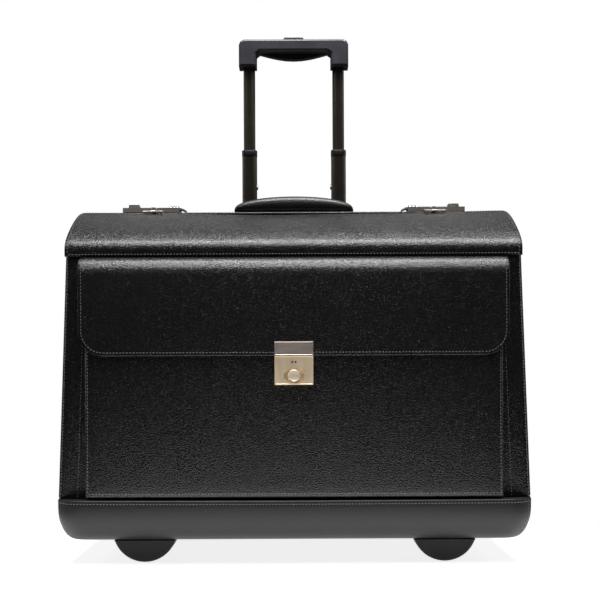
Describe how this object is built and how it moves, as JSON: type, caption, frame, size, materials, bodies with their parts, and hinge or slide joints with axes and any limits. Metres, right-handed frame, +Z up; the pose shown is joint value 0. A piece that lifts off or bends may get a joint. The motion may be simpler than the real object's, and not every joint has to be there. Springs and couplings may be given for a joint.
{
  "type": "pilot rolling flight case",
  "caption": "Boxy leather-covered flight case with a two-flap lid, combination latches, a front pocket with a slide lock, wheels, feet and a telescopic pull handle.",
  "frame": {"origin": "on the floor, under the middle of the case", "axes": "+X to the right seen from the front, +Y to the back, +Z up; the front faces -Y"},
  "size_m": [0.48, 0.2448, 0.5938],
  "materials": {
    "leather": "black pebble-grain faux leather, semi-gloss",
    "lining": "charcoal woven lining on board",
    "plastic": "moulded black plastic, satin gloss",
    "nickel": "satin nickel plate",
    "champagne": "satin champagne nickel plate",
    "steel": "plain steel",
    "tube": "black anodised tube with fine ribs",
    "tyre": "black rubber"
  },
  "bodies": {
    "case": {"base_tray": "leather", "bottom_board": "lining", "front_panel": "leather", "rear_panel": "lining", "rear_cover": "leather", "rear_shelf": "leather", "end_panel_left": "leather", "end_panel_right": "leather", "pocket_shell": "leather", "pocket_flap_root": "leather", "pocket_lock_body": "champagne", "foot_left": "plastic", "foot_right": "plastic", "wheel_housing_left": "plastic", "wheel_housing_right": "plastic", "axle_left": "steel", "axle_right": "steel", "outer_tube_left": "steel", "outer_tube_right": "steel", "tube_bracket": "plastic", "trolley_bezel": "plastic"},
    "front_lid": {"front_flap": "leather", "strike_left": "nickel", "strike_right": "nickel"},
    "rear_lid": {"rear_flap": "leather", "latch_body_left": "nickel", "latch_body_right": "nickel", "carry_bracket_left": "nickel", "carry_bracket_right": "nickel"},
    "handle": {"carry_handle": "leather"},
    "pocket_lid": {"pocket_flap": "leather", "pocket_hasp": "champagne"},
    "lock_button": {"pocket_lock_button": "champagne"},
    "lower_stage": {"lower_tube_left": "tube", "lower_tube_right": "tube"},
    "upper_stage": {"upper_tube_left": "tube", "upper_tube_right": "tube", "grip_front": "plastic", "grip_rear": "plastic"},
    "release": {"release_button": "plastic", "release_rod_left": "steel", "release_rod_right": "steel"},
    "latch_slider_left": {"latch_knob_left": "nickel"},
    "dial_1_left": {"dial_1_left": "steel"},
    "dial_2_left": {"dial_2_left": "steel"},
    "dial_3_left": {"dial_3_left": "steel"},
    "snap_left": {"snap_button_left": "steel"},
    "wheel_left": {"tyre_left": "tyre", "hub_left": "plastic"},
    "latch_slider_right": {"latch_knob_right": "nickel"},
    "dial_1_right": {"dial_1_right": "steel"},
    "dial_2_right": {"dial_2_right": "steel"},
    "dial_3_right": {"dial_3_right": "steel"},
    "snap_right": {"snap_button_right": "steel"},
    "wheel_right": {"tyre_right": "tyre", "hub_right": "plastic"}
  },
  "joints": [
    {"name": "front_lid_hinge", "type": "hinge", "parent": "case", "child": "front_lid", "pos_m": [0, -0.1034, 0.3119], "axis": [1, 0, 0], "range_deg": [0, 100]},
    {"name": "rear_lid_hinge", "type": "hinge", "parent": "case", "child": "rear_lid", "pos_m": [0, 0.0899, 0.3244], "axis": [-1, 0, 0], "range_deg": [0, 40]},
    {"name": "handle_pivot", "type": "hinge", "parent": "rear_lid", "child": "handle", "pos_m": [0, 0.008, 0.376], "axis": [1, 0, 0], "range_deg": [-15, 15]},
    {"name": "pocket_lid_hinge", "type": "hinge", "parent": "case", "child": "pocket_lid", "pos_m": [0, -0.1193, 0.3024], "axis": [-1, 0, 0], "range_deg": [0, 100]},
    {"name": "lock_button_slide", "type": "slide", "parent": "case", "child": "lock_button", "axis": [1, 0, 0], "range_m": [-0.003, 0.003], "stiffness_N_per_m": 300},
    {"name": "lower_stage_slide", "type": "slide", "parent": "case", "child": "lower_stage", "axis": [0, 0, 1], "range_m": [-0.124, 0.095]},
    {"name": "upper_stage_slide", "type": "slide", "parent": "lower_stage", "child": "upper_stage", "axis": [0, 0, 1], "range_m": [-0.094, 0.115]},
    {"name": "release_push", "type": "slide", "parent": "upper_stage", "child": "release", "axis": [0, 0, -1], "range_m": [0, 0.003], "stiffness_N_per_m": 600, "springref_m": -0.002},
    {"name": "latch_slide_left", "type": "slide", "parent": "rear_lid", "child": "latch_slider_left", "axis": [1, 0, 0], "range_m": [0, 0.0065]},
    {"name": "dial_turn_1_left", "type": "hinge", "parent": "rear_lid", "child": "dial_1_left", "pos_m": [-0.1356, 0.006, 0.3738], "axis": [1, 0, 0], "continuous": true},
    {"name": "dial_turn_2_left", "type": "hinge", "parent": "rear_lid", "child": "dial_2_left", "pos_m": [-0.1319, 0.006, 0.3738], "axis": [1, 0, 0], "continuous": true},
    {"name": "dial_turn_3_left", "type": "hinge", "parent": "rear_lid", "child": "dial_3_left", "pos_m": [-0.1282, 0.006, 0.3738], "axis": [1, 0, 0], "continuous": true},
    {"name": "snap_push_left", "type": "slide", "parent": "lower_stage", "child": "snap_left", "axis": [-1, 0, 0], "range_m": [0, 0.001], "stiffness_N_per_m": 400, "springref_m": -0.001},
    {"name": "wheel_turn_left", "type": "hinge", "parent": "case", "child": "wheel_left", "pos_m": [-0.19, 0.0904, 0.032], "axis": [1, 0, 0], "continuous": true},
    {"name": "latch_slide_right", "type": "slide", "parent": "rear_lid", "child": "latch_slider_right", "axis": [-1, 0, 0], "range_m": [0, 0.0065]},
    {"name": "dial_turn_1_right", "type": "hinge", "parent": "rear_lid", "child": "dial_1_right", "pos_m": [0.1356, 0.006, 0.3738], "axis": [1, 0, 0], "continuous": true},
    {"name": "dial_turn_2_right", "type": "hinge", "parent": "rear_lid", "child": "dial_2_right", "pos_m": [0.1319, 0.006, 0.3738], "axis": [1, 0, 0], "continuous": true},
    {"name": "dial_turn_3_right", "type": "hinge", "parent": "rear_lid", "child": "dial_3_right", "pos_m": [0.1282, 0.006, 0.3738], "axis": [1, 0, 0], "continuous": true},
    {"name": "snap_push_right", "type": "slide", "parent": "lower_stage", "child": "snap_right", "axis": [1, 0, 0], "range_m": [0, 0.001], "stiffness_N_per_m": 400, "springref_m": -0.001},
    {"name": "wheel_turn_right", "type": "hinge", "parent": "case", "child": "wheel_right", "pos_m": [0.19, 0.0904, 0.032], "axis": [1, 0, 0], "continuous": true}
  ]
}
